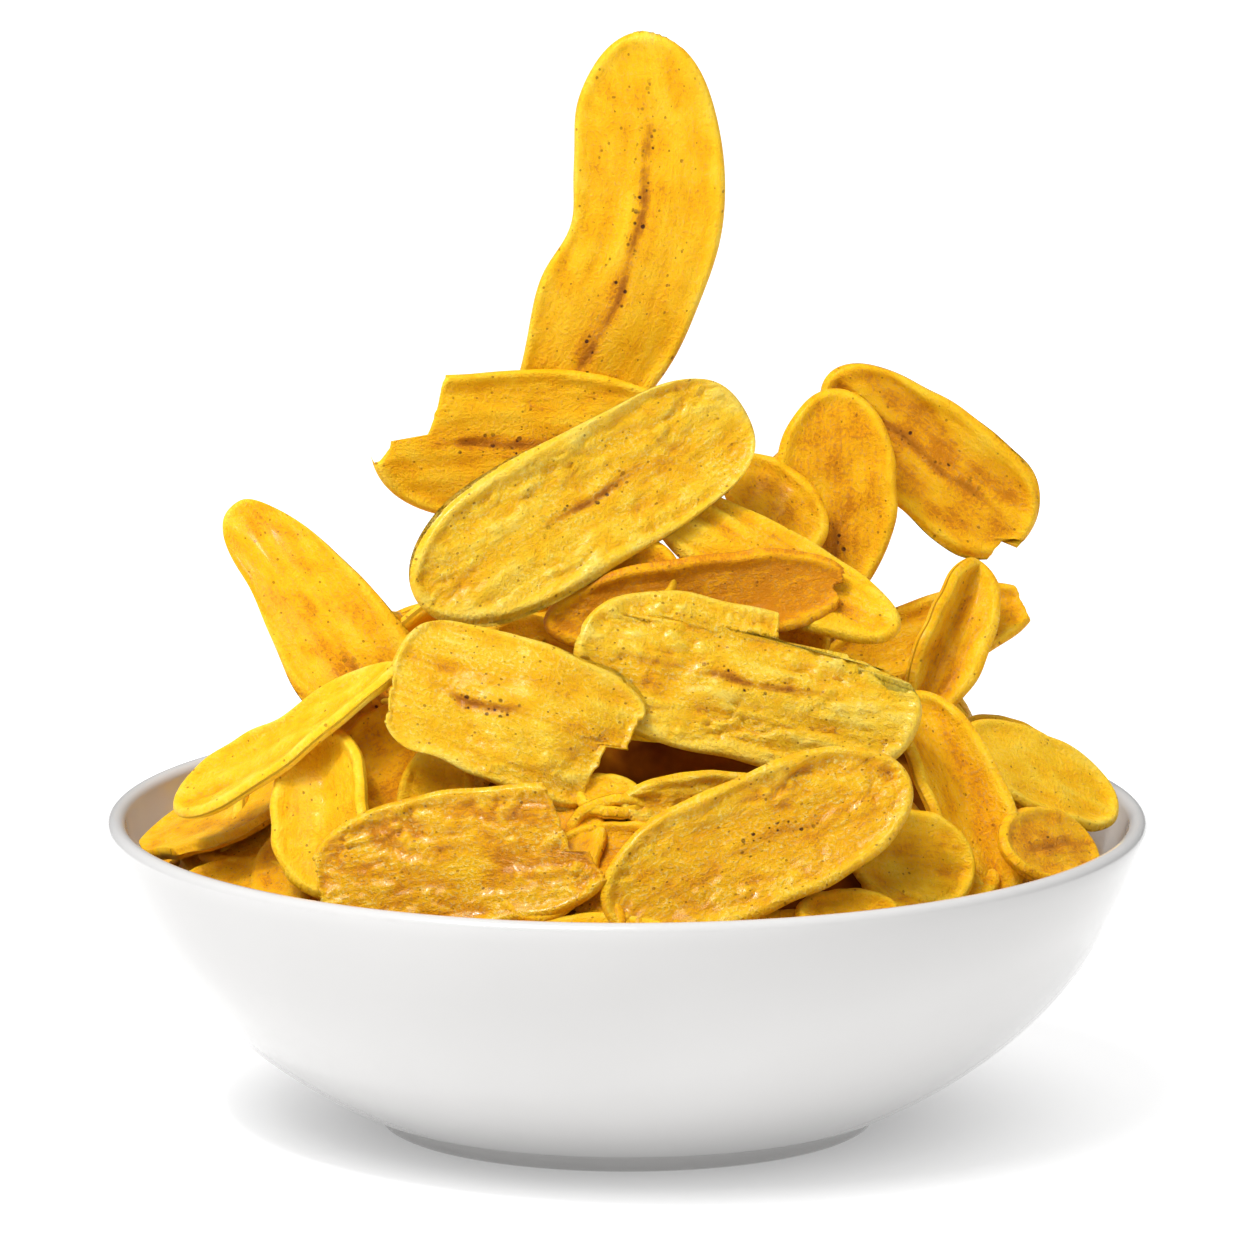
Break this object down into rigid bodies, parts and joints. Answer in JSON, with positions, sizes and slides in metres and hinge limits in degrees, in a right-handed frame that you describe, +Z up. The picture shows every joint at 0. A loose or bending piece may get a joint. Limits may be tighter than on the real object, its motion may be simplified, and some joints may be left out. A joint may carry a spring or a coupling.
{
  "type": "bowl of crisps",
  "caption": "Round white porcelain bowl heaped with long golden slices of fried plantain, for serving snacks; it stands on its foot ring.",
  "frame": {"origin": "middle of the foot ring, on the surface the bowl stands on", "axes": "+Z up along the bowl's axis, -Y towards the front that the picture shows, +X to the right of it"},
  "size_m": [0.2398, 0.2398, 0.2511],
  "materials": {
    "white_porcelain": "glossy white glaze",
    "fried_plantain": "golden yellow, satin with a little oil"
  },
  "bodies": {
    "root": {"bowl": "white_porcelain", "crisps": "fried_plantain"}
  },
  "joints": []
}
